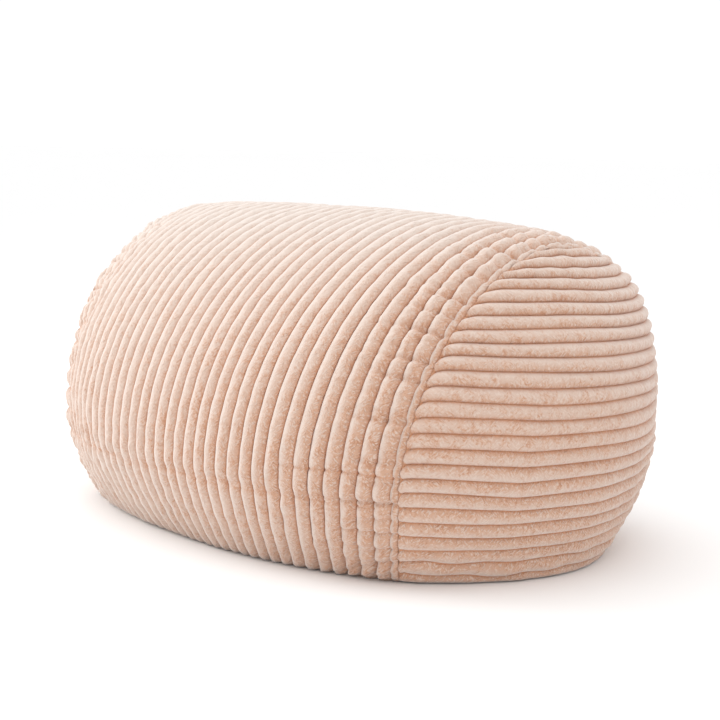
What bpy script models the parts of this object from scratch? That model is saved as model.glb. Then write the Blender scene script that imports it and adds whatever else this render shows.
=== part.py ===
"""A long floor pouf: three panels of wide-wale plush sewn round a soft filling.

The body panel is rolled to a drum, so its wales run round the pouf as rings. A domed panel
closes each end, and its wales lie level. Each panel is modelled filled, as one closed solid.
Units are metres. The length lies along X, the front faces -Y and the base rests on z = 0.
"""

import math

import bmesh
import bpy
import numpy as np
from mathutils import Vector

# The filled form. It is widest low down, because it sags, and the floor flattens its belly.
SEAM_STATION = 0.3317  # distance of each end seam from the middle, at the widest level
WIDEST_LEVEL = 0.1307  # height of the widest level above the floor
LEAN = 0.321  # the form is longer towards its top by this share for each metre of height
FLOOR_ROUNDING = 0.0106  # how softly the cover turns from its side onto the floor

# Sizes of the body's cross-section, from the widest level or the middle plane outwards.
# The belly is how far the form would hang below that level, if there were no floor.
SIZES = {
    # line     middle  at seam  flatness between
    "side": (0.3204, 0.2401, 2.64),
    "crown": (0.3033, 0.2793, 4.63),
    "belly": (0.2852, 0.3024, 3.53),
}
CROWN_POWER = 1.04  # 1 makes the upper half of a cross-section an ellipse
BELLY_POWER = 1.30  # above 1 draws the lower half in

# The domed ends: share of the depth = (1 - share of the way to the seam ** FULLNESS) ** ROUNDNESS
DOME_DEPTH = 0.1153
DOME_LEVEL = 0.2054  # height of the dome's middle
DOME_FULLNESS = 1.9
DOME_ROUNDNESS = 0.91

# Seams and wales
SEAM_GAP = 0.0003  # the clearance between two panels
SEAM_DEPTH = 0.012  # how far the seams draw the cover in
SEAM_REACH = 0.030  # how far from a seam the cover is drawn in
WALE_DEPTH = 0.006  # from the crest of a wale to the groove beside it
BODY_WALES = 34
RIDGE_WIDTH = 0.008  # the part of a wale that is left beside each end seam
END_FIRST_EDGE = 0.0053  # from the top of the seam to the first groove of an end panel
END_PITCH = 0.0160  # width of the top wale of an end panel
END_STRETCH = 0.00016  # how much wider each wale is than the one above it

# Faceting
SEGMENTS = 48  # round the body
SEGMENT_SHIFT = 0.35  # leaves fewer of them underneath, where the cover is flat
COLUMNS = 16  # across an end panel
TRACE = 400  # points on the lines that lengths are measured along
DRUM_RADIUS = 0.3  # of the turned drum, before it takes the shape of the form

PLUSH_COLOUR = (0.72, 0.51, 0.40, 1.0)
PLUSH_ROUGHNESS = 0.9


def size(line, station):
    """A size of the cross-section at this distance from the middle."""
    middle, at_seam, flatness = SIZES[line]
    return at_seam + (middle - at_seam) * (1 - np.abs(station / SEAM_STATION) ** flatness)


def section(station, angle):
    """Place across and height on a cross-section, before the floor; angle 0 is its top."""
    rise, across = np.cos(angle), np.sin(angle)
    power = np.where(rise >= 0, CROWN_POWER, BELLY_POWER)
    half_height = np.where(rise >= 0, size("crown", station), size("belly", station))
    y = -size("side", station) * np.sign(across) * np.abs(across) ** power
    z = WIDEST_LEVEL + half_height * np.sign(rise) * np.abs(rise) ** power
    return np.stack([y, z], axis=-1)


def on_the_floor(z):
    """Heights once the floor carries the form: level with it underneath, and rounded beside that."""
    rounded = (z + FLOOR_ROUNDING) ** 2 / (4 * FLOOR_ROUNDING)
    return np.where(z > FLOOR_ROUNDING, z, np.where(z < -FLOOR_ROUNDING, 0, rounded))


def settled(x, y, z):
    """A point of the form once it rests: the floor presses it flat, then the form leans out."""
    z = float(on_the_floor(z))
    return Vector((x * (1 + LEAN * (z - WIDEST_LEVEL)), y, z))


def drawn_in(distance):
    """How far the cover sinks towards a seam, at a distance from it along the cloth."""
    return SEAM_DEPTH * max(1 - distance / SEAM_REACH, 0) ** 2


def lengths_along(points):
    """The running length of a line through points, from its first point."""
    steps = np.linalg.norm(np.diff(points, axis=0), axis=1)
    return np.concatenate([[0], np.cumsum(steps)])


# The body panel


def body_profile():
    """The ribbed outline of the body: stations from the middle to a seam, each with its radius."""
    stations = np.linspace(0, SEAM_STATION, TRACE)
    mean_radius = (size("side", stations) + size("crown", stations)) / 2
    cloth = lengths_along(np.stack([stations, mean_radius], axis=1))
    half_cloth = cloth[-1]
    pitch = 2 * (half_cloth - RIDGE_WIDTH) / BODY_WALES
    places = [(0.5 * pitch * step, step % 2 == 1) for step in range(BODY_WALES + 1)]
    places += [(half_cloth - RIDGE_WIDTH / 2, True), (half_cloth, True)]
    profile = []
    for place, crest in places:
        lift = -drawn_in(half_cloth - place) - (0 if crest else WALE_DEPTH)
        profile.append((float(np.interp(place, cloth, stations)), DRUM_RADIUS + lift))
    profile[-1] = (SEAM_STATION - SEAM_GAP / 2, profile[-1][1])
    return profile


def turned_drum(name):
    """The body as a drum on the X axis, from its profile and a Screw modifier, closed at its ends."""
    half = body_profile()
    end = half[-1][0]
    points = [(-end, 0)] + [(-x, r) for x, r in half[:0:-1]] + half + [(end, 0)]
    mesh = bpy.data.meshes.new(name + "_profile")
    edges = [(i, i + 1) for i in range(len(points) - 1)]
    mesh.from_pydata([(x, 0, r) for x, r in points], edges, [])
    guide = bpy.data.objects.new(name + "_profile", mesh)
    bpy.context.scene.collection.objects.link(guide)
    screw = guide.modifiers.new("turn", "SCREW")
    screw.axis = "X"
    screw.steps = screw.render_steps = SEGMENTS
    screw.use_merge_vertices = True
    screw.merge_threshold = 0.00001
    drum = bpy.data.meshes.new_from_object(guide.evaluated_get(bpy.context.evaluated_depsgraph_get()))
    bpy.data.objects.remove(guide)
    drum.name = name
    return drum


def body_point(co):
    """Where a point of the turned drum lies on the filled form."""
    radius = math.hypot(co.y, co.z)
    if radius < DRUM_RADIUS / 2:
        return settled(co.x, 0, WIDEST_LEVEL)
    turn = math.atan2(-co.y, co.z)
    angle = turn - SEGMENT_SHIFT * math.sin(turn)
    step = 0.001
    along = section(co.x, angle + step) - section(co.x, angle - step)
    outward = np.array((along[1], -along[0])) / np.linalg.norm(along)
    y, z = section(co.x, angle) + outward * (radius - DRUM_RADIUS)
    return settled(co.x, y, z)


def body_panel():
    """The drum in its filled shape. Where it lies on the floor it is one flat face."""
    drum = turned_drum("body_panel")
    for vertex in drum.vertices:
        vertex.co = body_point(vertex.co)
    shape = bmesh.new()
    shape.from_mesh(drum)
    bmesh.ops.remove_doubles(shape, verts=shape.verts, dist=0.00001)
    bmesh.ops.recalc_face_normals(shape, faces=shape.faces)
    underside = [face for face in shape.faces if all(vertex.co.z == 0 for vertex in face.verts)]
    bmesh.ops.dissolve_faces(shape, faces=underside, use_verts=True)
    shape.to_mesh(drum)
    shape.free()
    return drum


# The end panels


SEAM_ANGLES = np.linspace(-math.pi, math.pi, TRACE)
SEAM_RING = section(SEAM_STATION, SEAM_ANGLES)


def dome_station(y, z):
    """The station of the dome's cover over a place across and a height, before the floor."""
    ring_turns = np.arctan2(-SEAM_RING[:, 0], SEAM_RING[:, 1] - DOME_LEVEL)
    ring_reach = np.hypot(SEAM_RING[:, 0], SEAM_RING[:, 1] - DOME_LEVEL)
    reach = np.interp(np.arctan2(-y, z - DOME_LEVEL), ring_turns, ring_reach, period=2 * math.pi)
    share = np.minimum(np.hypot(y, z - DOME_LEVEL) / reach, 1)
    return SEAM_STATION + DOME_DEPTH * (1 - share ** DOME_FULLNESS) ** DOME_ROUNDNESS


def level_line(z, spacing):
    """Half of a level line on the dome, from its middle to the seam: a station and a place across
    for each share of its length that spacing lists."""
    upper = z >= WIDEST_LEVEL
    half_height = SIZES["crown" if upper else "belly"][1]
    power = CROWN_POWER if upper else BELLY_POWER
    rise = min(abs(z - WIDEST_LEVEL) / half_height, 1) ** (1 / power)
    half_width = SIZES["side"][1] * (1 - rise ** 2) ** (power / 2)
    across = half_width * np.sin(np.linspace(0, math.pi / 2, TRACE))
    stations = dome_station(across, z)
    length = lengths_along(np.stack([stations, across], axis=1))
    places = np.array(spacing) * length[-1]
    return np.interp(places, length, stations), np.interp(places, length, across)


def end_levels():
    """Heights of the lines across the dome, top to bottom, each with its depth below a crest."""
    top = WIDEST_LEVEL + SIZES["crown"][1]
    heights = np.linspace(top, -FLOOR_ROUNDING, 4 * TRACE)
    middle = [settled(dome_station(0, z), 0, z) for z in heights]
    cloth = lengths_along(np.array(middle))
    edges = [END_FIRST_EDGE]
    pitch = END_PITCH
    while edges[-1] + 1.5 * pitch < cloth[-1]:
        edges.append(edges[-1] + pitch)
        pitch += END_STRETCH
    levels = [(top, 0)]
    for upper, lower in zip(edges, edges[1:] + [cloth[-1]]):
        levels.append((float(np.interp(upper, cloth, heights)), WALE_DEPTH))
        levels.append((float(np.interp((upper + lower) / 2, cloth, heights)), 0))
    return levels + [(-FLOOR_ROUNDING, 0)]


def dome_points():
    """The dome as rows of points, before the floor: each row is a level line, seam to seam."""
    spacing = [math.sin(0.5 * math.pi * i / (COLUMNS // 2)) for i in range(COLUMNS // 2 + 1)]
    levels = end_levels()
    rows = []
    for z, _ in levels:
        stations, across = level_line(z, spacing)
        front = np.stack([stations, -across, np.full_like(stations, z)], axis=1)
        rows.append(np.concatenate([front[:0:-1], front * (1, -1, 1)]))
    smooth = np.array(rows)
    outward = np.cross(np.gradient(smooth, axis=0), np.gradient(smooth, axis=1))
    outward[0] = (0, 0, 1)
    outward[:, (0, -1), 0] = 0
    outward /= np.linalg.norm(outward, axis=2, keepdims=True)
    seam = np.insert(SEAM_RING, 0, SEAM_STATION, axis=1)
    points = smooth.copy()
    for row, (_, depth) in enumerate(levels[:-1]):
        for column in range(COLUMNS + 1):
            distance = np.linalg.norm(seam - smooth[row, column], axis=1).min()
            sink = drawn_in(distance) + depth * min(distance / SEAM_REACH, 1)
            points[row, column] -= outward[row, column] * sink
    return points


def end_panel(name, side):
    """A domed end panel; side is 1 for the right end and -1 for the left end."""
    points = dome_points()
    rows = len(points)
    seam_face = SEAM_STATION + SEAM_GAP / 2
    shape = bmesh.new()
    bmesh.ops.create_grid(shape, x_segments=COLUMNS, y_segments=rows - 1, size=1)
    grid = {}
    for vertex in shape.verts:
        column = round((vertex.co.x + 1) / 2 * COLUMNS)
        row = round((1 - vertex.co.y) / 2 * (rows - 1))
        grid[row, column] = vertex
    for (row, column), vertex in grid.items():
        x, y, z = points[row, column]
        on_seam = column in (0, COLUMNS) or row == 0
        place = settled(seam_face if on_seam else max(x, seam_face + SEAM_GAP), y, z)
        vertex.co = (side * place.x, place.y, place.z)
    front_seam = [grid[row, 0] for row in range(rows)]
    back_seam = [grid[row, COLUMNS] for row in range(rows)]
    floor_line = [grid[rows - 1, column] for column in range(COLUMNS + 1)]
    shape.faces.new(front_seam[::-1] + [grid[0, column] for column in range(1, COLUMNS)] + back_seam)
    shape.faces.new(floor_line)
    bmesh.ops.remove_doubles(shape, verts=shape.verts, dist=0.00001)
    bmesh.ops.recalc_face_normals(shape, faces=shape.faces)
    mesh = bpy.data.meshes.new(name)
    shape.to_mesh(mesh)
    shape.free()
    return mesh


# Materials and assembly


def plush(name):
    material = bpy.data.materials.new(name)
    material.use_nodes = True
    shader = material.node_tree.nodes["Principled BSDF"]
    shader.inputs["Base Color"].default_value = PLUSH_COLOUR
    shader.inputs["Roughness"].default_value = PLUSH_ROUGHNESS
    shader.inputs["Metallic"].default_value = 0
    return material


def main():
    for old in list(bpy.data.objects):
        bpy.data.objects.remove(old)
    pouf = bpy.data.collections.new("long_floor_pouf")
    bpy.context.scene.collection.children.link(pouf)
    panels = {
        "body_panel": body_panel(),
        "end_panel_right": end_panel("end_panel_right", 1),
        "end_panel_left": end_panel("end_panel_left", -1),
    }
    for name, mesh in panels.items():
        mesh.materials.clear()
        mesh.materials.append(plush(name + "_plush"))
        mesh.shade_smooth()
        mesh.set_sharp_from_angle(angle=math.radians(50))
        pouf.objects.link(bpy.data.objects.new(name, mesh))


main()
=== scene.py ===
# %% [markdown]
# # A long floor pouf in wide-wale plush
#
# The real pouf is a soft filling in a cover of three panels. One long panel is rolled round the
# body, and a domed panel is sewn into each end. The cloth has broad, rounded ribs of short pile,
# called wales. On the body they run round the pouf as rings, and on the ends they lie level.
#
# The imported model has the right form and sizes, and it stays as it is. This script dresses it: each
# panel is made again as a fine mesh, with every wale, gather and crease of the sewn cover.

# %% The frame
import math

import bpy
import numpy as np
from mathutils import Matrix, Vector


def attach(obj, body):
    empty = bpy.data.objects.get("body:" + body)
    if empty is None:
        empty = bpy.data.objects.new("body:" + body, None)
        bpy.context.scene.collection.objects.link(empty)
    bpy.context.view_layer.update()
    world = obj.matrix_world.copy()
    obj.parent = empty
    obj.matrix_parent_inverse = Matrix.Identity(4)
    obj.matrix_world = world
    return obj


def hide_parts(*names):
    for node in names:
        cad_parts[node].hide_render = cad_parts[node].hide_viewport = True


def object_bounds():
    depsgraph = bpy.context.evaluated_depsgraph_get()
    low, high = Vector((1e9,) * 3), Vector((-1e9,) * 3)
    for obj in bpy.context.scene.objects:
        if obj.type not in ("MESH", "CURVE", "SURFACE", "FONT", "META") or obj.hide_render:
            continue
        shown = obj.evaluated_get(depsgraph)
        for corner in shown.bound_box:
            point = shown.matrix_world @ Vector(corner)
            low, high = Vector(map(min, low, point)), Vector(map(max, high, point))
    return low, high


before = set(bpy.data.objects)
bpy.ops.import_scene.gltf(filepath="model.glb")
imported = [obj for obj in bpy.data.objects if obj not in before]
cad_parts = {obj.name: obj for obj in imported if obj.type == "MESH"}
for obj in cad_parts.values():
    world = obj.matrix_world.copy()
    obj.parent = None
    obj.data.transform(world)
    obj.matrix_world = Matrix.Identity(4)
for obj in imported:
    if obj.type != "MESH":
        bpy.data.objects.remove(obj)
cad_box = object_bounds()
length, depth, height = cad_box[1] - cad_box[0]
print(f"the pouf is {length:.3f} m long, {depth:.3f} m deep and {height:.3f} m high")

# %% [markdown]
# ## The filled form
#
# A filled tube of cloth stands round and full at its top. Low down it sags, so it is widest near
# the floor, and the floor presses it flat underneath. A sphere or a box bent with modifiers could
# give this only roughly. Here the cross-section is a formula: two half ellipses, an upper and a
# lower one, whose sizes fall off a little towards the end seams. A power above 1 makes the flanks
# of a half ellipse straighter, as the slack cloth of the belly is. Each size is a share of the
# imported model's box, so the dressed pouf always fits its frame.
#
# Plush grips a floor. Where the right end was pushed into place, the underside stayed behind, so
# the wales there come down steeply, while those at the left sweep under the pouf. The hold fades
# out under the dome, which hardly touches the floor.

# %% Sizes of the form
SEAM_STATION = 0.3611 * length
WIDEST_LEVEL = 0.2839 * height
LEAN = 0.321
FLOOR_ROUNDING = 0.0260 * height
END_FLOOR_ROUNDING = 0.0420 * height
LEFT_ROUNDING_GAIN = 2.6
FLOOR_LINE_WIDTH = 0.011
FLOOR_DRAG = 0.030
DRAG_LEVEL = 0.100
DRAG_START = -0.07
DRAG_SPAN = 0.32
SIZES = {
    # line     middle           at the seams     flatness between
    "side": (0.5016 * depth, 0.3759 * depth, 2.64),
    "crown": (0.6988 * height, 0.6435 * height, 4.63),
    "belly": (0.6571 * height, 0.6968 * height, 3.53),
}
CROWN_POWER = 1.04
BELLY_POWER = 1.30
DOME_DEPTH = 0.1255 * length
TRACE = 1200
print(f"the end seams are {2 * SEAM_STATION:.3f} m apart, and each dome is {DOME_DEPTH:.3f} m deep")


# %% The cross-section
def size(line, station):
    """A size of the cross-section at this distance from the middle."""
    middle, at_seam, flatness = SIZES[line]
    return at_seam + (middle - at_seam) * (1 - np.abs(station / SEAM_STATION) ** flatness)


def section(station, angle):
    """Place across and height on a cross-section, before the floor. Angle 0 is the top."""
    rise, across = np.cos(angle), np.sin(angle)
    power = np.where(rise >= 0, CROWN_POWER, BELLY_POWER)
    half_height = np.where(rise >= 0, size("crown", station), size("belly", station))
    y = -size("side", station) * np.sign(across) * np.abs(across) ** power
    z = WIDEST_LEVEL + half_height * np.sign(rise) * np.abs(rise) ** power
    return np.stack([y, z], axis=-1)


def floor_rounding(x):
    """How far the form is rounded over the floor: a little more at the ends, most at the left."""
    toward_end = np.clip((np.abs(x) / SEAM_STATION - 0.45) / 0.55, 0, 1) ** 2
    toward_left = np.clip(-x / SEAM_STATION, 0, 1)
    at_end = END_FLOOR_ROUNDING - FLOOR_ROUNDING
    left_share = LEFT_ROUNDING_GAIN * toward_left * (1 - toward_end)
    return FLOOR_ROUNDING + at_end * (toward_end + left_share)


def on_the_floor(x, z):
    """Heights once the floor carries the form, rounded where the cover leaves the floor."""
    rounding = floor_rounding(x)
    rounded = (z + rounding) ** 2 / (4 * rounding)
    return np.where(z > rounding, z, np.where(z < -rounding, 0, rounded))


def floor_line_shade(points):
    """1 at the line where the form leaves the floor, and 0 a finger width away: the weight of the painted
    shade there.
    """
    x, _, z = np.moveaxis(points, -1, 0)
    return np.exp(-((z + floor_rounding(x)) / FLOOR_LINE_WIDTH) ** 2)


def floor_drag(x, z):
    """How far the floor holds the underside back: the right end was pushed a little along it."""
    share = np.clip((DRAG_LEVEL - z) / (DRAG_LEVEL + floor_rounding(x)), 0, 1)
    carried = np.clip((x - DRAG_START) / DRAG_SPAN, 0, 1)
    dome = 0.9 * np.clip((x - SEAM_STATION) / (0.6 * DOME_DEPTH), 0, 1)
    return FLOOR_DRAG * share ** 1.5 * carried ** 2 * (3 - 2 * carried) * (1 - dome)


def settled(points):
    """Points of the form once it rests: pressed flat underneath and leaning out at its ends."""
    x, y, loose_z = np.moveaxis(points, -1, 0)
    z = on_the_floor(x, loose_z)
    return np.stack([x * (1 + LEAN * (z - WIDEST_LEVEL)) - floor_drag(x, loose_z), y, z], axis=-1)


def lengths_along(points):
    """The running length of a line through points, from its first point."""
    steps = np.linalg.norm(np.diff(points, axis=0), axis=-1)
    return np.concatenate([[0], np.cumsum(steps)])


def unit(vectors):
    """The same directions, each of length 1."""
    return vectors / np.maximum(np.linalg.norm(vectors, axis=-1, keepdims=True), 1e-9)


# %% Lengths of cloth
stations = np.linspace(0, SEAM_STATION, TRACE)
mean_radius = (size("side", stations) + size("crown", stations)) / 2
cloth_at_station = lengths_along(np.stack([stations, mean_radius], axis=1))
HALF_CLOTH = cloth_at_station[-1]

ring_angles = np.linspace(-math.pi, math.pi, 2 * TRACE + 1)
SEAM_RING = section(SEAM_STATION, ring_angles)
ring_lengths = lengths_along(SEAM_RING)
RING_PLACES = ring_lengths - ring_lengths[TRACE]
print(f"the body panel is {2 * HALF_CLOTH:.3f} m wide, and each end seam {ring_lengths[-1]:.2f} m long")

# %% [markdown]
# ## Unevenness
#
# Sewn, filled cloth is never quite even. A few cosines with seeded random directions add up to a
# smooth wandering value. It costs nothing, and it is the same on each run.

# %% A smooth wandering value
WAVES = 9


def wander(seed, *places):
    """A smooth value between about -1 and 1 that changes over one unit of each place."""
    random = np.random.default_rng(seed)
    total = 0
    for _ in range(WAVES):
        turns = random.normal(size=len(places)) * 0.45
        phase = random.uniform(0, 2 * math.pi)
        total = total + np.cos(2 * math.pi * sum(t * p for t, p in zip(turns, places)) + phase)
    return total * math.sqrt(2 / WAVES) / 1.6


# %% [markdown]
# ## The filling
#
# The filling has settled a little unevenly: it is plumper at the top of the right end, and slacker
# at the upper left. Each row below is one such swelling or hollow.

# %% Swellings and hollows
FILLING = (
    # place                   reach   rise
    ((0.372, 0.140, 0.349), 0.070, 0.0095),
    ((0.395, 0.170, 0.179), 0.070, -0.0040),
    ((-0.358, -0.125, 0.359), 0.060, -0.0060),
    ((0.215, 0.020, 0.424), 0.080, -0.0030),
    ((-0.290, -0.210, 0.010), 0.060, -0.0045),
)


def filling_rise(points):
    """How far the filling pushes the cover out at these places."""
    rise = 0
    for place, reach, height_there in FILLING:
        away = np.linalg.norm(settled(points) - np.array(place), axis=-1)
        rise = rise + height_there * np.exp(-(away / reach) ** 2)
    return rise


# %% [markdown]
# ## Wales
#
# A wale is a rib of pile about two finger widths across. Its top is broad and round, and the
# groove beside it is narrow, because the piles of two wales meet over it. A displacement texture
# would round everything alike, so each wale gets its own rows of vertices, closest together at the
# grooves, and its profile is a superellipse.

# %% The profile of a wale
WALE_DEPTH = 0.0066
WALE_ROWS = 8
WALE_SQUARENESS = 2.2
WALE_ROUNDNESS = 0.70
TIP_LENGTH = 0.005
row_shares = (1 - np.cos(math.pi * np.arange(WALE_ROWS) / WALE_ROWS)) / 2


def wale_height(share, end_distance=None):
    """From 0 in the grooves to 1 on the crest; with end_distance the wale ends in a round tip."""
    away = np.abs(2 * share - 1) ** WALE_SQUARENESS
    if end_distance is not None:
        away = away + np.clip(1 - end_distance / TIP_LENGTH, 0, 1) ** WALE_SQUARENESS
    return np.clip(1 - away, 0, 1) ** WALE_ROUNDNESS


print(f"a wale has {WALE_ROWS} rows and is {1000 * WALE_DEPTH:.1f} mm deep")


# %% [markdown]
# ## Gathers
#
# The end seam is a little shorter than the cloth of the body panel, so the panel is gathered onto
# it. The last few wales before the seam swell and pinch like beads, and the pinches line up across
# them. They fade out within a hand's width of the seam. Such buckling is hard to draw and easy to
# simulate: a band of cloth is held along the seam, grown by a twentieth, and blown up against the
# filling. Faint dents in its first shape say where the pinches come.

# %% The form under the body panel
TILT_SHARE = 0.5
TILT_START = 0.01
TILT_SPAN = 0.06


def body_form(cloth, angle):
    """Points of the form at places on the cloth, before the floor, and the way out of it there."""
    station = np.interp(np.abs(cloth), cloth_at_station, stations) * np.sign(cloth)
    smooth = np.concatenate([station[..., None], section(station, angle)], axis=-1)
    nudge = 0.002
    around = section(station, angle + nudge) - section(station, angle - nudge)
    outward = unit(np.stack([np.zeros_like(station), around[..., 1], -around[..., 0]], axis=-1))
    side = np.sign(cloth)
    farther = np.clip(station + nudge * side, -SEAM_STATION, SEAM_STATION)
    nearer = farther - 2 * nudge * side
    slope = ((section(farther, angle) - section(nearer, angle)) * outward[..., 1:]).sum(axis=-1)
    from_seam = np.clip((HALF_CLOTH - np.abs(cloth) - TILT_START) / TILT_SPAN, 0, 1)
    tilt = -TILT_SHARE * slope / (2 * nudge) * from_seam * side
    return smooth, unit(outward + np.stack([tilt, 0 * tilt, 0 * tilt], axis=-1))


# %% Where the pinches come
GATHER_PITCH = 0.0290
GATHER_SPREAD = 0.0070
PINCH_STRENGTHS = (0.25, 1.0)
PINCH_REACHES = (0.030, 0.075)
LOW_FRONT_PINCHES = (
    # place along the seam, strength, reach from it
    (0.326, 0.85, 0.055),
    (0.374, 0.55, 0.050),
    (0.398, 0.50, 0.030),
    (0.424, 1.00, 0.105),
    (0.446, 0.55, 0.030),
    (0.463, 0.95, 0.055),
    (0.486, 1.00, 0.060),
    (0.507, 1.00, 0.055),
)


def pinch_places(seed, known=()):
    """Rows of place, strength and reach of the pinches along an end seam, in order of place."""
    random = np.random.default_rng(seed)
    reach = RING_PLACES[-1]
    count = int(2 * reach / GATHER_PITCH)
    places = np.linspace(-reach, reach, count) + random.uniform(-1, 1, count) * GATHER_SPREAD
    strengths = random.uniform(*PINCH_STRENGTHS, count)
    reaches = random.uniform(*PINCH_REACHES, count)
    pinches = np.stack([places, strengths, reaches])
    for found in known:
        pinches = pinches[:, np.abs(pinches[0] - found[0]) > 0.5 * GATHER_PITCH]
    pinches = np.concatenate([pinches.T, np.array(known).reshape(-1, 3)])
    return pinches[pinches[:, 0].argsort()]


PINCHES = {1: pinch_places(11, LOW_FRONT_PINCHES), -1: pinch_places(12)}
print(f"the right end seam has {len(PINCHES[1])} pinches")


def pinched(side, place, distance, width):
    """How much the cover is pinched there, from 0 to 1; the width is a share of the pitch."""
    places, strengths, reaches = PINCHES[side].T
    number = np.interp(place, places, np.arange(len(places)))
    strength = np.interp(place, places, strengths)
    reach = np.interp(place, places, reaches)
    return strength * np.exp(-((number - np.round(number)) / width) ** 2 - (distance / reach) ** 1.4)


# %% A band of cloth to simulate
BAND_WIDTH = 0.110
BAND_PITCH = 0.0040
BAND_DENT = 0.0020
DENT_WIDTH = 0.22
HELD_REACH = 0.06
BAND_COLUMNS = int(2 * RING_PLACES[-1] / BAND_PITCH)
band_places = RING_PLACES[0] + 2 * RING_PLACES[-1] * np.arange(BAND_COLUMNS) / BAND_COLUMNS
band_distances = np.linspace(0, BAND_WIDTH, int(BAND_WIDTH / BAND_PITCH) + 1)
print(f"a band has {len(band_distances)} rows of {BAND_COLUMNS} points")


def cloth_band(side):
    """The band as an object with vertex groups, and its form before it is gathered."""
    distance, place = np.meshgrid(band_distances, band_places, indexing="ij")
    angle = np.interp(place, RING_PLACES, ring_angles)
    smooth, outward = body_form(side * (HALF_CLOTH - distance), angle)
    start = smooth - BAND_DENT * pinched(side, place, distance, DENT_WIDTH)[..., None] * outward
    number = np.arange(distance.size).reshape(distance.shape)
    number = np.concatenate([number, number[:, :1]], axis=1)
    corners = [number[:-1, :-1], number[1:, :-1], number[1:, 1:], number[:-1, 1:]]
    faces = np.stack(corners if side > 0 else corners[::-1], axis=-1).reshape(-1, 4).tolist()
    mesh = bpy.data.meshes.new("band")
    mesh.from_pydata(start.reshape(-1, 3).tolist(), [], faces)
    band = bpy.data.objects.new("band", mesh)
    bpy.context.scene.collection.objects.link(band)
    held = band.vertex_groups.new(name="held")
    held.add(number[(0, -2, -1), :-1].ravel().tolist(), 1.0, "REPLACE")
    even = band.vertex_groups.new(name="even")
    for row, away in zip(number[:, :-1].tolist(), band_distances):
        even.add(row, 1 - math.exp(-(away / HELD_REACH) ** 2), "REPLACE")
    return band, smooth, outward


# %% Simulating the gathers
BAND_GROWTH = 0.05
BAND_PRESSURE = 8.0
BAND_FRAMES = 24


def gather(band):
    """Where the points of the band come to rest once its cloth has grown."""
    modifier = band.modifiers.new("cloth", "CLOTH")
    rules = modifier.settings
    rules.quality = 6
    rules.mass = 0.002
    rules.tension_stiffness = 15
    rules.compression_stiffness = 15
    rules.shear_stiffness = 4
    rules.bending_stiffness = 0.5
    rules.air_damping = 1
    rules.vertex_group_mass = "held"
    rules.vertex_group_shrink = "even"
    rules.shrink_min = -BAND_GROWTH
    rules.shrink_max = 0
    rules.use_pressure = True
    rules.uniform_pressure_force = BAND_PRESSURE
    rules.effector_weights.gravity = 0
    modifier.collision_settings.use_collision = False
    modifier.point_cache.frame_start = 1
    modifier.point_cache.frame_end = BAND_FRAMES
    for frame_number in range(1, BAND_FRAMES + 1):
        bpy.context.scene.frame_set(frame_number)
    rested = band.evaluated_get(bpy.context.evaluated_depsgraph_get())
    points = np.zeros(3 * len(band.data.vertices))
    rested.data.vertices.foreach_get("co", points)
    bpy.data.objects.remove(band)
    bpy.context.scene.frame_set(1)
    return points


# %% What the simulation gives
GATHER_CAP = 0.0040
DRIFT_CAP = 0.0015
EVEN_OUT = 15


def without_slow_part(values):
    """The values less their running mean round the seam: what is left is the gathers alone."""
    total = sum(np.roll(values, turn, axis=1) for turn in range(-EVEN_OUT, EVEN_OUT + 1))
    return values - total / (2 * EVEN_OUT + 1)


def gathers(side):
    """Rise and sideways drift of the gathered cloth at each point of the band."""
    band, smooth, outward = cloth_band(side)
    moved = gather(band).reshape(smooth.shape) - smooth
    rise = without_slow_part((moved * outward).sum(axis=-1))
    drift = without_slow_part(moved[..., 0])
    return np.clip(rise, -GATHER_CAP, GATHER_CAP), np.clip(drift, -DRIFT_CAP, DRIFT_CAP)


GATHERS = {side: gathers(side) for side in (1, -1)}
for side, (rise, drift) in GATHERS.items():
    print(f"gathers {side:+d}: {1000 * rise.min():.1f} to {1000 * rise.max():.1f} mm")

# %% [markdown]
# The fine mesh reads that rise between the points of the band. A straight-line reading would show
# as facets, so it goes through a smooth curve of the four nearest points each way. The ribs make
# plush stiffer than the plain cloth of the simulation, so the gathers run on farther from the seam.

# %% Reading the gathers
GATHER_STRETCH = 1.7
GATHER_GAIN = 1.75
FOLD_DEPTH = 0.0027
FOLD_WIDTH = 0.09


def four_weights(t):
    """Weights of the four nearest points of a smooth curve, at a share t between the middle two."""
    return (
        (-t + 2 * t ** 2 - t ** 3) / 2,
        (2 - 5 * t ** 2 + 3 * t ** 3) / 2,
        (t + 4 * t ** 2 - 3 * t ** 3) / 2,
        (t ** 3 - t ** 2) / 2,
    )


def read_band(values, place, distance):
    """A value of the band at places round the seam and distances from it."""
    row = np.clip(distance / (band_distances[1] * GATHER_STRETCH), 0, len(band_distances) - 2.001)
    column = (place - band_places[0]) / (band_places[1] - band_places[0])
    first_row, first_column = np.floor(row).astype(int), np.floor(column).astype(int)
    total = 0
    for i, row_weight in enumerate(four_weights(row - first_row)):
        for j, column_weight in enumerate(four_weights(column - first_column)):
            near_row = np.clip(first_row + i - 1, 0, len(band_distances) - 1)
            near_column = (first_column + j - 1) % len(band_places)
            total = total + row_weight * column_weight * values[near_row, near_column]
    return total


def gathered_cover(side, place, distance):
    """Rise, sideways drift and pinch of the gathered cover at places on one half of it."""
    rise, drift = (read_band(values, place, distance) for values in GATHERS[side])
    fold = pinched(side, place, distance, FOLD_WIDTH)
    pinch = np.clip(-rise / GATHER_CAP + fold, 0, 1)
    return GATHER_GAIN * rise - FOLD_DEPTH * fold, drift, pinch


def both_gathers(cloth, place, distance):
    """Rise, drift and pinch over the whole body panel, each half from its own end seam."""
    found = np.zeros((3, *cloth.shape))
    for side in (-1, 1):
        here = np.sign(cloth) == side
        found[:, here] = gathered_cover(side, place[here], distance[here])
    return found


# %% [markdown]
# ## The end seams
#
# A seam pulls the cover in. The same function gives its depth for the body panel and for the end
# panel, so their edges meet.

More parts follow.
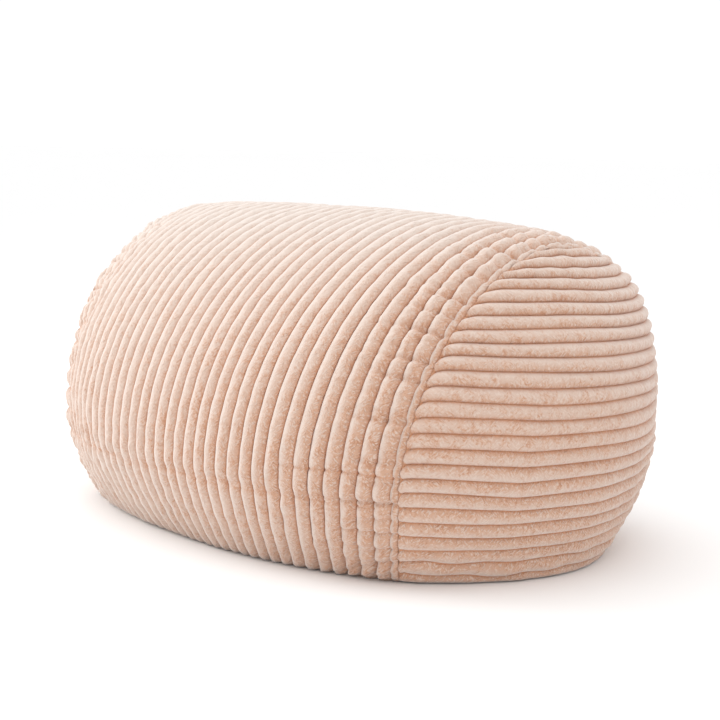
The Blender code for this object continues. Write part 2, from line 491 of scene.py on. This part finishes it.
# %% The pull of a seam
SEAM_GAP = 0.0003
SEAM_DEPTH = 0.0040
STITCH_DEPTH = 0.0036
STITCH_CREST = 0.20
SEAM_REACH = 0.022
SEAM_UNEVENNESS = 0.12


def seam_pull(distance, place, side):
    """How far the cover sinks at a distance from an end seam."""
    depth_here = SEAM_DEPTH * (1 + SEAM_UNEVENNESS * wander(31 + side, place / 0.05))
    return depth_here * np.clip(1 - distance / SEAM_REACH, 0, 1) ** 2


# %% [markdown]
# ## The body panel
#
# Its rows follow the wales, eight to each, and its columns run along the wales. A narrow ridge is
# left of the wale that the seam cuts, on each side. The gathers need columns a few millimetres
# apart and the plain middle does not, so the panel is made in three lengths, with twice as many
# columns in the two outer ones. They meet at the bottom of a groove, where no join shows.

# %% Rows and columns of the body panel
BODY_WALES = 34
GATHERED_WALES = 5
RIDGE_WIDTH = 0.0080
RIDGE_ROWS = 5
RIDGE_DROP = 0.0012
BODY_SPANS = 475
FLOOR_SPANS = 25
LIFT_ANGLE = 2.42
body_pitch = 2 * (HALF_CLOTH - RIDGE_WIDTH) / BODY_WALES

ridge_shares = (1 - np.cos(math.pi * np.arange(RIDGE_ROWS) / RIDGE_ROWS)) / 2
rows = [(-HALF_CLOTH + RIDGE_WIDTH * share, 1 - share, -1) for share in ridge_shares]
for wale in range(BODY_WALES):
    edge = body_pitch * (wale - BODY_WALES / 2)
    rows += [(edge + body_pitch * share, share, wale) for share in row_shares]
last_edge = HALF_CLOTH - RIDGE_WIDTH
rows += [(last_edge + RIDGE_WIDTH * share, share, BODY_WALES) for share in ridge_shares]
rows += [(HALF_CLOTH, 1, BODY_WALES)]
body_rows = np.array(rows)
print(f"the body panel has {BODY_WALES} wales of {1000 * body_pitch:.1f} mm in {len(body_rows)} rows")


def body_columns(fineness):
    """Angles of the columns: over the free part of the cover, then across the floor."""
    above = np.linspace(-LIFT_ANGLE, LIFT_ANGLE, BODY_SPANS * fineness + 1)
    below = np.linspace(LIFT_ANGLE, 2 * math.pi - LIFT_ANGLE, FLOOR_SPANS * fineness + 1)[1:-1]
    angles = np.concatenate([above, below])
    return np.where(angles > math.pi, angles - 2 * math.pi, angles)


# %% [markdown]
# ## The closing seam
#
# The body panel is closed by a seam that lies low on the front, and near the right end a second
# crease runs above it. The cover sinks softly towards each, and its pile parts in a narrow, broken
# line. The wales step a little where the two edges of the panel meet. A groove cut by a modifier
# would have hard edges, so both creases are smooth hollows in the same rows of points.

# %% The creases of the closing seam
CLOSING_ANGLE = 1.715
CREASE_ANGLE = 1.512
CREASE_START = 0.16
CREASE_FADE = 0.08
HOLLOW_WIDTH = 0.026
LINE_WIDTH = 0.007
HOLLOW_DEPTH = 0.0011
LINE_DEPTH = 0.0026


def crease(angle, middle, width):
    """1 along a crease that lies at an angle, and 0 away from it."""
    return np.exp(-((angle - middle) / width) ** 2)


def closing_creases(cloth, angle, distance):
    """How plain the creases are there, then their broad hollows and their narrow lines."""
    plain = (angle > 0) * (0.50 + 0.50 * np.exp(-(distance / 0.16) ** 2) * (cloth > 0))
    closing_line = CLOSING_ANGLE + 0.006 * wander(8, cloth / 0.06)
    crease_line = CREASE_ANGLE + 0.005 * wander(9, cloth / 0.06)
    second = np.clip((cloth - CREASE_START) / CREASE_FADE, 0, 1)
    broken = np.clip(0.65 + 0.6 * wander(13, cloth / 0.035), 0, 1)
    hollows = crease(angle, closing_line, HOLLOW_WIDTH) + second * crease(angle, crease_line, HOLLOW_WIDTH)
    lines = broken * crease(angle, closing_line, LINE_WIDTH)
    lines = lines + second * crease(angle, crease_line, LINE_WIDTH)
    return plain, hollows, lines


# %% How the wales of the body wander
BODY_WANDER = 0.0004
SEAM_STEP = 0.0005
STEP_WIDTH = 0.006
STEP_REACH = 0.12
STRAIGHT_REACH = 0.012


def body_sway(cloth, angle, place, distance, drift):
    """How far the wales shift sideways: gathered, uneven, and stepped at the closing seam."""
    sway = drift + BODY_WANDER * wander(3, cloth / 0.04, place / 0.11)
    step = np.tanh((angle - CLOSING_ANGLE) / STEP_WIDTH) * (angle > 0)
    stepped = SEAM_STEP * crease(angle, CLOSING_ANGLE, STEP_REACH)
    sway += stepped * step * (0.7 + 0.5 * wander(4, cloth / 0.05))
    return sway * np.clip(distance / STRAIGHT_REACH, 0, 1)


# %% The relief of the body's wales
DEPTH_UNEVENNESS = 0.10
DEEPER_AT_END = 0.35
END_REACH = 0.08
DEEPER_AT_FLOOR = 0.90
FLOOR_LEVEL = 0.005
FLOOR_REACH = 0.026


def groove_depth(cloth, place, distance, level):
    """How deep the grooves are: more beside an end seam and where the cover turns under."""
    depth_here = WALE_DEPTH * (1 + DEPTH_UNEVENNESS * wander(5, cloth / 0.03, place / 0.07))
    depth_here *= 1 + DEEPER_AT_END * np.exp(-(distance / END_REACH) ** 2)
    return depth_here * (1 + DEEPER_AT_FLOOR * np.exp(-((level - FLOOR_LEVEL) / FLOOR_REACH) ** 2))


def body_relief(share, ridge, depth_here):
    """How far the cover lies below its crests, on the wales and on the narrow ridges."""
    crest = wale_height(share)
    edge_depth = np.where(share < 0.5, WALE_DEPTH, STITCH_DEPTH)
    ridge_lift = -RIDGE_DROP - (edge_depth - RIDGE_DROP) * (1 - crest)
    return np.where(ridge, ridge_lift, -depth_here * (1 - crest))


# %% [markdown]
# ## From points to a mesh
#
# Each panel is a grid of points, so its mesh is rows of four-sided faces, and one large face fills
# each open edge. A grid that an operator adds would have to be moved point by point afterwards.
# What the finish has to know, such as how near a crest is, is stored with the points.

# %% A closed mesh from rows of points
def sheet_mesh(name, points, closed, caps, layers, uv):
    """A mesh from a grid of points, with its end rings filled and values stored at its points."""
    row_count, column_count = points.shape[:2]
    number = np.arange(row_count * column_count).reshape(row_count, column_count)
    if closed:
        number = np.concatenate([number, number[:, :1]], axis=1)
    corners = [number[:-1, :-1], number[:-1, 1:], number[1:, 1:], number[1:, :-1]]
    faces = np.stack(corners, axis=-1).reshape(-1, 4).tolist()
    mesh = bpy.data.meshes.new(name)
    mesh.from_pydata(points.reshape(-1, 3).tolist(), [], faces + caps)
    for layer, values in layers.items():
        kind = "FLOAT_VECTOR" if values.ndim == 3 else "FLOAT"
        field = "vector" if values.ndim == 3 else "value"
        attribute = mesh.attributes.new(layer, kind, "POINT")
        attribute.data.foreach_set(field, values.astype(np.float32).ravel())
    bake = mesh.uv_layers.new(name="OFBake")
    loops = np.zeros(len(mesh.loops), np.int32)
    mesh.loops.foreach_get("vertex_index", loops)
    bake.data.foreach_set("uv", uv.reshape(-1, 2)[loops].astype(np.float32).ravel())
    mesh.shade_smooth()
    return mesh


# %% [markdown]
# ## Brushed pile and painted shade
#
# Hands and the floor rough the pile up: most low down, at the right and on the gathers, and least
# on the top. The same value sets how much shade is painted on the wales: least on the top, which is
# lit from above, and more low down, at the right and down the ends. That could be painted by hand on
# each panel. Here it is a formula over the cloth, which stays smooth and is easy to change, and the
# finish reads it from the points.

# %% Where the pile is brushed and shade is painted
TOP_SHADE_AND_WEAR = 0.14
SIDE_SHADE_AND_WEAR = 0.80
UNDER_LESS_SHADE_AND_WEAR = 0.16
GATHER_SHADE_AND_WEAR = 0.30


def shade_and_wear_by_place(cloth, angle):
    """How brushed the pile is there and how much shade is painted: least on top and at the left, most low
    and at the right.
    """
    low = TOP_SHADE_AND_WEAR + SIDE_SHADE_AND_WEAR * np.clip(np.abs(angle) - 0.40, 0, 1) ** 0.8
    low *= 1 - UNDER_LESS_SHADE_AND_WEAR * np.clip((np.abs(angle) - 1.55) / 0.25, 0, 1)
    gathered = GATHER_SHADE_AND_WEAR * np.exp(-((HALF_CLOTH - cloth) / 0.09) ** 2)
    toward_right = np.clip(0.54 + 1.10 * cloth, 0.43, 0.86)
    return np.clip(low * toward_right + gathered * (1 - 0.7 * low), 0, 0.95)


# %% Points of the body panel
SWELL_START = 0.003
RIDGE_CALM = 0.3
BEADS = 0.0005
BUMPS = 0.0010


def body_panel(name, first_wale, end_wale, fineness):
    """A length of the body panel with its wales, gathers and creases."""
    first = 0 if first_wale < 0 else RIDGE_ROWS + WALE_ROWS * first_wale
    last = len(body_rows) - 1 if end_wale > BODY_WALES else RIDGE_ROWS + WALE_ROWS * end_wale
    row_cloth, row_share, row_wale = body_rows[first:last + 1].T
    columns = body_columns(fineness)
    cloth, angle = np.meshgrid(row_cloth, columns, indexing="ij")
    share, _ = np.meshgrid(row_share, columns, indexing="ij")
    wale, _ = np.meshgrid(row_wale, columns, indexing="ij")
    ridge = (wale < 0) | (wale == BODY_WALES)
    distance = HALF_CLOTH - np.abs(cloth)
    place = np.interp(angle, ring_angles, RING_PLACES)

    swell, drift, pinch = both_gathers(cloth, place, distance)
    plain, hollows, lines = closing_creases(cloth, angle, distance)
    smooth, outward = body_form(cloth + body_sway(cloth, angle, place, distance, drift), angle)
    crest = wale_height(share)
    lift = body_relief(share, ridge, groove_depth(cloth, place, distance, smooth[..., 2]))
    lift -= seam_pull(distance, place, 1)
    lift += swell * np.clip(distance / SWELL_START, 0, 1) * (1 - RIDGE_CALM * ridge)
    lift += BEADS * wander(6, cloth / 0.03, place / 0.020) * crest
    lift += BUMPS * wander(7, cloth / 0.12, place / 0.16)
    lift += filling_rise(smooth)
    lift -= plain * (HOLLOW_DEPTH * hollows + LINE_DEPTH * lines)

    loose = smooth + outward * lift[..., None]
    points = settled(loose)
    for row, end in ((0, -1), (-1, 1)):
        if abs(row_cloth[row]) == HALF_CLOTH:
            seam_face = end * (SEAM_STATION - SEAM_GAP / 2)
            leaning = seam_face * (1 + LEAN * (points[row, :, 2] - WIDEST_LEVEL))
            points[row, :, 0] = leaning - floor_drag(seam_face, loose[row, :, 2])

    # the crest layer also sets the painted groove shade: mild on the stitched edge, deeper on the crease
    # lines
    crest_value = np.where(ridge & (share > 0.5), STITCH_CREST + (1 - STITCH_CREST) * crest, crest)
    # painted shade and parted pile: the colour deepens in the pinches of the gathers and in the hollows
    # and lines of the closing creases
    parted_and_shaded = np.clip(pinch + plain * (0.5 * hollows + lines), 0, 1)
    layers = {
        "crest": crest_value * (1 - 0.7 * lines * plain),
        # painted shade: the flank value puts the deeper colour on the right side of each wale, partly for
        # the lie of the pile
        "flank": 2 * share - 1 - 0.1 * ridge,
        "cloth": np.stack([cloth, place, wale], axis=-1),
        "pinch": parted_and_shaded * (1 - RIDGE_CALM * ridge),
        "shade_and_wear": shade_and_wear_by_place(cloth, angle),
        "floor_line_shade_mask": floor_line_shade(loose),
    }
    count = len(columns)
    edge_start = (len(row_cloth) - 1) * count
    caps = [list(range(count))[::-1], list(range(edge_start, edge_start + count))]
    round_share = np.broadcast_to(np.arange(count) / count, cloth.shape)
    uv = np.stack([(cloth + HALF_CLOTH) / (2 * HALF_CLOTH), round_share], axis=-1)
    return sheet_mesh(name, points, True, caps, layers, uv)


# %% [markdown]
# ## The end panels
#
# An end panel is a domed sheet. Its wales lie level, so its rows are level lines on the dome, from
# the seam in front to the seam at the back. Each wale ends in a round tip where it dives into the
# seam. A cap of rings, as a sphere has, would have to be cut across by every wale.

# %% The dome
DOME_LEVEL = 0.4560 * height
DOME_FULLNESS = 1.9
DOME_ROUNDNESS = 0.91


def dome_station(y, z):
    """The station of the dome's cover over a place across and a height, before the floor."""
    turns = np.arctan2(-SEAM_RING[:, 0], SEAM_RING[:, 1] - DOME_LEVEL)
    reaches = np.hypot(SEAM_RING[:, 0], SEAM_RING[:, 1] - DOME_LEVEL)
    reach = np.interp(np.arctan2(-y, z - DOME_LEVEL), turns, reaches, period=2 * math.pi)
    share = np.minimum(np.hypot(y, z - DOME_LEVEL) / reach, 1)
    return SEAM_STATION + DOME_DEPTH * (1 - share ** DOME_FULLNESS) ** DOME_ROUNDNESS


def half_width_at(z):
    """Half the width of the seam ring at each height."""
    upper = z >= WIDEST_LEVEL
    half_height = np.where(upper, SIZES["crown"][1], SIZES["belly"][1])
    power = np.where(upper, CROWN_POWER, BELLY_POWER)
    rise = np.clip(np.abs(z - WIDEST_LEVEL) / half_height, 0, 1) ** (1 / power)
    return SIZES["side"][1] * (1 - rise ** 2) ** (power / 2)


# %% Rows of an end panel
END_FIRST_EDGE = 0.0053
END_PITCH = 0.0160
END_STRETCH = 0.00016
END_COLUMNS = 320
dome_top = WIDEST_LEVEL + SIZES["crown"][1]
dome_heights = np.linspace(dome_top, -END_FLOOR_ROUNDING, 4 * TRACE)
middle = 0 * dome_heights
dome_middle = np.stack([dome_station(middle, dome_heights), middle, dome_heights], axis=1)
dome_cloth = lengths_along(settled(dome_middle))
end_edges = [0, END_FIRST_EDGE]
end_pitch = END_PITCH
while end_edges[-1] + 1.5 * end_pitch < dome_cloth[-1]:
    end_edges.append(end_edges[-1] + end_pitch)
    end_pitch += END_STRETCH
end_edges.append(dome_cloth[-1])
end_rows = []
for wale, (upper, lower) in enumerate(zip(end_edges, end_edges[1:])):
    end_rows += [(upper + (lower - upper) * share, share, wale) for share in row_shares]
end_rows += [(dome_cloth[-1], 1, len(end_edges) - 2)]
print(f"an end panel has {len(end_edges) - 1} wales and {len(end_rows)} rows of {END_COLUMNS + 1} points")


# %% [markdown]
# ## How the level wales wander
#
# Cloth that is stretched over a dome sags a little. Its wales dip below the middle and towards one
# side, and the highest and lowest ones wave, because the seam gathers them. Points moved by hand
# would show kinks, so the rows shift as a whole, by a few millimetres.

# %% How the level wales sag and wander
LOW_SAG = 0.0064
LOW_SAG_AT = 0.32
FAR_SAG = 0.0062
RIM_RISE = 0.0010
END_WANDER = 0.0010
TOP_WAVES = 0.0024
FOOT_WAVES = 0.0022


def end_sway(side, cloth, across, width):
    """How far the wales of an end panel shift down the dome."""
    reach = width * across
    rim = width * (1 - np.abs(across))
    fade = np.where(cloth < LOW_SAG_AT, 0.11, 0.07)
    below = np.exp(-((cloth - LOW_SAG_AT) / fade) ** 2)
    inside = np.clip((rim - 0.03) / 0.09, 0, 1) ** 1.5
    inside *= 1 - 0.35 * np.clip(-side * across / 0.6, 0, 1)
    under_top = np.clip((cloth - 0.12) / 0.05, 0, 1)
    at_top = np.clip(1 - cloth / 0.09, 0, 1)
    at_foot = np.clip((cloth - 0.38) / 0.04, 0, 1)
    far = np.clip((0.6 - side * across) / 1.05, 0, 1.2) ** 2
    high = np.exp(-(np.maximum(cloth - 0.10, 0) / 0.16) ** 2)
    sway = LOW_SAG * below * inside
    sway -= RIM_RISE * np.exp(-((rim - 0.02) / 0.02) ** 2) * under_top
    sway += END_WANDER * wander(40 + side, cloth / 0.05, reach / 0.10)
    sway += TOP_WAVES * wander(42 + side, cloth / 0.03, reach / 0.03) * at_top
    sway += FOOT_WAVES * wander(50 + side, cloth / 0.03, reach / 0.05) * at_foot
    sway += FAR_SAG * far * high * np.clip(cloth / 0.03, 0, 1)
    sway *= np.clip(cloth / 0.004, 0, 1) * np.clip((dome_cloth[-1] - cloth) / 0.02, 0, 1)
    return sway * np.clip((1 - np.abs(across)) / 0.03, 0, 1)


# %% From the dome to its seam
def nearest_on_seam(points):
    """The distance of each point of the dome from the seam, and the nearest place along it."""
    seam = np.insert(SEAM_RING, 0, SEAM_STATION, axis=1)[::4]
    seam_places = RING_PLACES[::4]
    distance = np.empty(points.shape[:2])
    place = np.empty(points.shape[:2])
    for row, line in enumerate(points):
        away = np.linalg.norm(line[:, None] - seam[None], axis=-1)
        nearest = away.argmin(axis=1)
        distance[row] = away[np.arange(len(line)), nearest]
        place[row] = seam_places[nearest]
    return distance, place


def out_of_dome(y, z, distance):
    """The way out of the dome; beside the seam it stays in the seam's own plane."""
    nudge = 0.0005
    slope_y = (dome_station(y + nudge, z) - dome_station(y - nudge, z)) / (2 * nudge)
    slope_z = (dome_station(y, z + nudge) - dome_station(y, z - nudge)) / (2 * nudge)
    off_seam = np.clip((distance - 0.003) / 0.015, 0, 1)
    return unit(np.stack([off_seam, -slope_y, -slope_z], axis=-1))


# %% Points of an end panel
END_WALE_SAG = 1.25
END_BEADS = 0.0006
LEAST_SHADE_AND_WEAR = 0.48
SHADE_AND_WEAR_DOWNWARD = 1.45
TURN_LEVEL = 0.235
TURN_SPAN = 0.065
OTHER_CLOTH = 50


def end_panel(name, side):
    """A domed end panel; side is 1 for the right end and -1 for the left end."""
    row_cloth, row_share, row_wale = np.array(end_rows).T
    spread = np.linspace(-1, 1, END_COLUMNS + 1)
    cloth, across = np.meshgrid(row_cloth, np.sin(0.5 * math.pi * spread), indexing="ij")
    share = np.broadcast_to(row_share[:, None], cloth.shape)
    wale = np.broadcast_to(row_wale[:, None], cloth.shape)
    width = half_width_at(np.interp(cloth, dome_cloth, dome_heights))
    reach = width * across
    level = np.interp(cloth + end_sway(side, cloth, across, width), dome_cloth, dome_heights)
    y = -half_width_at(level) * across
    smooth = np.stack([dome_station(y, level), y, level], axis=-1)
    distance, place = nearest_on_seam(smooth)
    outward = out_of_dome(y, level, distance)

    crest = wale_height(share ** END_WALE_SAG, distance)
    unevenness = DEPTH_UNEVENNESS * wander(44 + side, cloth / 0.03, reach / 0.07)
    wale_depth = WALE_DEPTH * (1 + unevenness)
    at_seam = np.clip(distance / 0.003, 0, 1)
    lift = -(STITCH_DEPTH + (wale_depth - STITCH_DEPTH) * at_seam) * (1 - crest)
    lift -= seam_pull(distance, place, side)
    lift += END_BEADS * wander(46 + side, cloth / 0.03, reach / 0.02) * crest * at_seam
    lift += BUMPS * wander(48 + side, cloth / 0.12, reach / 0.14) * np.clip(distance / 0.03, 0, 1)
    lift += filling_rise(smooth * (side, 1, 1))

    points = smooth + outward * lift[..., None]
    seam_face = SEAM_STATION + SEAM_GAP / 2
    points[..., 0] = np.maximum(points[..., 0], seam_face)
    points[:, (0, -1), 0] = seam_face
    floor_line_shade_mask = floor_line_shade(points)
    points = settled(points * (side, 1, 1))

    layers = {
        "crest": np.maximum(crest, STITCH_CREST * (1 - at_seam)),
        # painted shade: in the upper half the lower flank of each wale is deeper, as light falls from
        # above; in the lower half the upper flank, as the floor lights the lower one
        "flank": 0.5 * (1 - 2 * share) * np.clip((cloth - TURN_LEVEL) / TURN_SPAN, -1, 1),
        "cloth": np.stack([reach, cloth, wale + OTHER_CLOTH * side], axis=-1),
        "pinch": np.zeros_like(cloth),
        # painted shade and brushed pile: both grow down the end panel
        "shade_and_wear": LEAST_SHADE_AND_WEAR + SHADE_AND_WEAR_DOWNWARD * cloth,
        "floor_line_shade_mask": floor_line_shade_mask,
    }
    row_count, column_count = cloth.shape
    number = np.arange(row_count * column_count).reshape(row_count, column_count)
    outline = [*number[:, 0], *number[-1, 1:], *number[::-1, -1][1:], *number[0, ::-1][1:-1]]
    uv = np.stack([(across + 1) / 2, cloth / dome_cloth[-1]], axis=-1)
    return sheet_mesh(name, points, False, [[int(n) for n in outline]], layers, uv)


# %% [markdown]
# ## The plush
#
# Short pile looks pale where its tips face the light and darker where they lean away or part. A
# plain colour would look like plastic. The finish here has three layers: painted shade in the
# grooves, soft mottling where the pile is brushed, and fine strokes and specks of parted pile. The
# same strokes drive the bump, and a constant sheen gives the pale rim of fibre tips.
#
# Each wale is painted deeper on one side: painted shade, partly standing for the lie of the pile.
# On the body that is its right side, away from the light at the left. On an end the wales of the
# upper half are deeper below, where light from above misses them, and those of the lower half
# above, as the floor lights them from below.
# The line where the cover leaves the floor is in its own deep shade, and a dark line of painted shade is
# laid along it.

# %% Arithmetic on sockets
class Wire:
    """An output of a node; arithmetic on it adds Math nodes. Without a socket it only adds nodes."""

    def __init__(self, tree, socket=None):
        self.tree = tree
        self.socket = socket

    def node(self, kind, settings=None, inputs=None, output=0):
        """Any node: its type, its settings, and the values or wires of its sockets."""
        made = self.tree.nodes.new("ShaderNode" + kind)
        for name, value in (settings or {}).items():
            setattr(made, name, value)
        for name, value in (inputs or {}).items():
            if isinstance(value, Wire):
                self.tree.links.new(value.socket, made.inputs[name])
            else:
                made.inputs[name].default_value = value
        return Wire(self.tree, made.outputs[output])

    def math(self, operation, *values):
        """A Math node on values or wires."""
        return self.node("Math", {"operation": operation}, dict(enumerate(values)))

    def __add__(self, other):
        return self.math("ADD", self, other)

    def __sub__(self, other):
        return self.math("SUBTRACT", self, other)

    def __rsub__(self, other):
        return self.math("SUBTRACT", other, self)

    def __mul__(self, other):
        return self.math("MULTIPLY", self, other)

    __radd__ = __add__
    __rmul__ = __mul__

    def within(self, low, high):
        """Smoothly 0 below low and 1 above high."""
        settings = {"interpolation_type": "SMOOTHSTEP"}
        return self.node("MapRange", settings, {"Value": self, "From Min": low, "From Max": high})

    def blend(self, first, second):
        """A colour between two, by this value; a Mix node's colours are its sockets 6 and 7."""
        return self.node("Mix", {"data_type": "RGBA"}, {0: self, 6: first, 7: second}, 2)


# %% Marks of the pile
STROKE_SIZE = (0.0015, 0.0040)
STROKE_TURN = 0.7
GRAIN_OF_WALES = 0.6
GRAIN_ROUGHNESS = 0.55


def noise(cloth, across, along, detail=1.0, turn=0.0):
    """Noise whose grains have these sizes in metres, turned on the cloth."""
    mapping = {"Vector": cloth, "Rotation": (0, 0, turn), "Scale": (across, along, GRAIN_OF_WALES)}
    place = cloth.node("Mapping", {"vector_type": "TEXTURE"}, mapping)
    grain = {"Vector": place, "Scale": 1.0, "Detail": detail, "Roughness": GRAIN_ROUGHNESS}
    return cloth.node("TexNoise", {}, grain)


def fine_strokes(cloth):
    """Strokes of the pile, which lean to the left in some places and to the right in others."""
    left_strokes = noise(cloth, *STROKE_SIZE, turn=STROKE_TURN)
    right_strokes = noise(cloth, *STROKE_SIZE, turn=-STROKE_TURN)
    which = noise(cloth, 0.006, 0.008, 0).within(0.47, 0.53)
    return left_strokes * which + right_strokes * (1 - which)


# %% The plush material
PALE = (0.665, 0.58, 0.522, 1)
SHADED_WARM = (0.61, 0.375, 0.265, 1)
BRUSHED = (0.50, 0.26, 0.16, 1)
GROOVE_SHADE = (0.60, 0.29, 0.16, 1)
PALE_STROKE = (0.75, 0.65, 0.58, 1)
FLOOR_SHADE = (0.10, 0.06, 0.045, 1)


def plush():
    """Pale peach plush with painted shade in its grooves and on one flank of each wale, mottled and
    brushed.
    """
    material = bpy.data.materials.new("peach_plush")
    material.use_nodes = True
    tree = material.node_tree
    shader = tree.nodes["Principled BSDF"]
    start = Wire(tree)

    def stored(name, output=2):
        return start.node("Attribute", {"attribute_name": name}, output=output)

    crest, flank, pinch = stored("crest"), stored("flank"), stored("pinch")
    shade_and_wear, floor_line_shade_mask = stored("shade_and_wear"), stored("floor_line_shade_mask")
    cloth = stored("cloth", output=1)

    patch = noise(cloth, 0.035, 0.060).within(0.38, 0.60)
    mottle = noise(cloth, 0.0075, 0.0120, 2).within(0.42, 0.60)
    specks = noise(cloth, 0.0026, 0.0036, 1).within(0.54, 0.66)
    strokes = fine_strokes(cloth)

    nap_and_shade_side = flank.within(-0.75, 0.60)
    brushed = mottle * (0.12 + 0.88 * nap_and_shade_side) * (0.45 + 0.55 * patch) * shade_and_wear
    # painted shade: the colour deepens on one flank of each wale and towards its grooves, more where less
    # light falls, partly for the lie of the pile
    shade = shade_and_wear * (0.08 + 1.08 * nap_and_shade_side + 0.35 * (1 - crest.within(0.35, 0.95)))
    # painted shade and parted pile in the pinches and creases, most on the shaded flank
    parted_and_shaded = pinch * (0.35 + 0.65 * nap_and_shade_side)
    colour = (shade + 0.40 * brushed + 0.55 * parted_and_shaded).blend(PALE, SHADED_WARM)
    colour = (specks * (0.05 + 1.05 * brushed + 0.60 * parted_and_shaded)).blend(colour, BRUSHED)
    colour = (strokes.within(0.54, 0.62) * (0.06 + 0.55 * shade_and_wear * nap_and_shade_side)).blend(colour, PALE_STROKE)
    dark_strokes = (1 - strokes.within(0.38, 0.46)) * (0.05 + 0.95 * brushed + 0.30 * parted_and_shaded)
    colour = dark_strokes.blend(colour, BRUSHED)
    # painted shade: the grooves and the stitched seam edges are tinted deeper, where shade falls in them
    colour = (1 - crest.within(0.0, 0.55)).blend(colour, GROOVE_SHADE)
    # painted shade: a dark line along where the cover leaves the floor
    colour = (0.85 * floor_line_shade_mask).blend(colour, FLOOR_SHADE)

    tree.links.new(colour.socket, shader.inputs["Base Color"])
    relief = strokes * (0.15 + 1.10 * shade_and_wear * nap_and_shade_side) + 0.4 * mottle * (0.2 + 0.8 * nap_and_shade_side)
    bump = start.node("Bump", {}, {"Strength": 0.9, "Distance": 0.0020, "Height": relief})
    tree.links.new(bump.socket, shader.inputs["Normal"])
    shader.inputs["Roughness"].default_value = 0.95
    shader.inputs["Sheen Weight"].default_value = 0.5
    shader.inputs["Sheen Roughness"].default_value = 0.5
    shader.inputs["Specular IOR Level"].default_value = 0.10
    return material


# %% [markdown]
# ## Dressing the frame
#
# Each cover rides the pouf's one body and stands for one panel of the imported model, which it hides.

# %% The five covers
PLUSH = plush()
print(f"the plush has {len(PLUSH.node_tree.nodes)} nodes")


def dress(mesh, node):
    """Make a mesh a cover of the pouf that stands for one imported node."""
    piece = bpy.data.objects.new(mesh.name, mesh)
    bpy.context.scene.collection.objects.link(piece)
    mesh.materials.append(PLUSH)
    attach(piece, "root")
    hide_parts(node)
    print(f"{mesh.name}: {len(mesh.polygons)} faces")


GATHERED_START = BODY_WALES - GATHERED_WALES
dress(body_panel("left_body_cover", -1, GATHERED_WALES, 2), "body_panel")
dress(body_panel("middle_body_cover", GATHERED_WALES, GATHERED_START, 1), "body_panel")
dress(body_panel("right_body_cover", GATHERED_START, BODY_WALES + 1, 2), "body_panel")
dress(end_panel("right_end_cover", 1), "end_panel_right")
dress(end_panel("left_end_cover", -1), "end_panel_left")

# %% [markdown]
# ## Studio
#
# A white floor, a large soft light from the upper left and a bright, even surround: the light of a
# catalogue picture.

# %% Floor
def white_floor(reach=40.0):
    """A wide white floor that meets the bright surround far behind the pouf."""
    corners = [(-reach, -reach, 0), (reach, -reach, 0), (reach, reach, 0), (-reach, reach, 0)]
    mesh = bpy.data.meshes.new("studio_floor")
    mesh.from_pydata(corners, [], [(0, 1, 2, 3)])
    floor = bpy.data.objects.new("studio_floor", mesh)
    bpy.context.scene.collection.objects.link(floor)
    material = bpy.data.materials.new("white_paper")
    material.use_nodes = True
    shader = material.node_tree.nodes["Principled BSDF"]
    shader.inputs["Base Color"].default_value = (0.94, 0.94, 0.94, 1)
    shader.inputs["Roughness"].default_value = 0.9
    mesh.materials.append(material)
    return floor


white_floor()

# %% Camera
CAMERA_TURN = math.radians(46.267)
CAMERA_RISE = math.radians(7.877)
CAMERA_ROLL = math.radians(1.5)
CAMERA_DISTANCE = 2.198
CAMERA_LENS = 80.6
AIM = Vector((0.0198, 0, 0.2184))

back = Vector((
    math.sin(CAMERA_TURN) * math.cos(CAMERA_RISE),
    -math.cos(CAMERA_TURN) * math.cos(CAMERA_RISE),
    math.sin(CAMERA_RISE),
))
right = Vector((0, 0, 1)).cross(back).normalized()
up = back.cross(right)
level_view = Matrix((right, up, back)).transposed()
camera = bpy.data.objects.new("camera", bpy.data.cameras.new("camera"))
camera.data.lens = CAMERA_LENS
camera.matrix_world = Matrix.Translation(AIM + back * CAMERA_DISTANCE) @ (
    level_view @ Matrix.Rotation(CAMERA_ROLL, 3, "Z")).to_4x4()
bpy.context.scene.collection.objects.link(camera)
bpy.context.scene.camera = camera
print("the camera stands at", [round(value, 2) for value in camera.matrix_world.translation])


# %% Lights
def soft_light(name, turn, rise, distance, width, power):
    """A large square light that faces the pouf from an azimuth and a height in degrees."""
    turn, rise = math.radians(turn), math.radians(rise)
    toward = Vector((math.sin(turn) * math.cos(rise), -math.cos(turn) * math.cos(rise), math.sin(rise)))
    lamp = bpy.data.objects.new(name, bpy.data.lights.new(name, "AREA"))
    lamp.data.size = width
    lamp.data.energy = power
    lamp.location = Vector((0, 0, height / 2)) + toward * distance
    lamp.rotation_euler = toward.to_track_quat("Z", "Y").to_euler()
    bpy.context.scene.collection.objects.link(lamp)


soft_light("key", -58, 25, 3.0, 1.6, 35)
soft_light("top", 20, 80, 2.6, 2.6, 18)


def white_surround(strength):
    """An even white surround."""
    world = bpy.data.worlds.new("surround")
    world.use_nodes = True
    background = world.node_tree.nodes["Background"]
    background.inputs["Color"].default_value = (1, 1, 1, 1)
    background.inputs["Strength"].default_value = strength
    bpy.context.scene.world = world


white_surround(1.06)
bpy.context.scene.view_settings.view_transform = "Standard"
